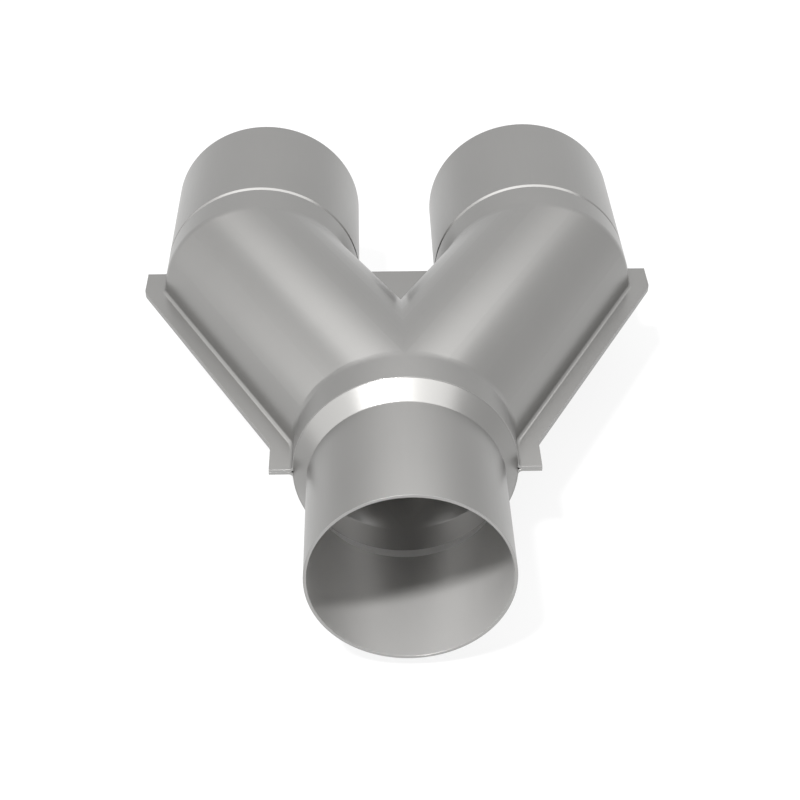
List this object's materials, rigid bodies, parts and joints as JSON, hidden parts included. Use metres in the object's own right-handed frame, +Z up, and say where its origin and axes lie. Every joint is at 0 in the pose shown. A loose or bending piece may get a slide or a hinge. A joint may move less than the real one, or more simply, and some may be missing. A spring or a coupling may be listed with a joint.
{
  "type": "exhaust y-pipe",
  "caption": "Welded exhaust y-pipe: stamped half shells with a side flange join one smaller pipe at the front to a pair of larger pipes at the rear.",
  "frame": {"origin": "centre of the single pipe's open end", "axes": "+Y runs into the single pipe and out through the pair of rear pipes, +X to the right seen from the single pipe, +Z up, square to the flange"},
  "size_m": [0.2646, 0.3215, 0.1016],
  "materials": {
    "shell_steel": "satin",
    "pipe_steel": "satin"
  },
  "bodies": {
    "root": {"upper_shell": "shell_steel", "lower_shell": "shell_steel", "single_pipe": "pipe_steel", "left_pipe": "pipe_steel", "right_pipe": "pipe_steel"}
  },
  "joints": []
}
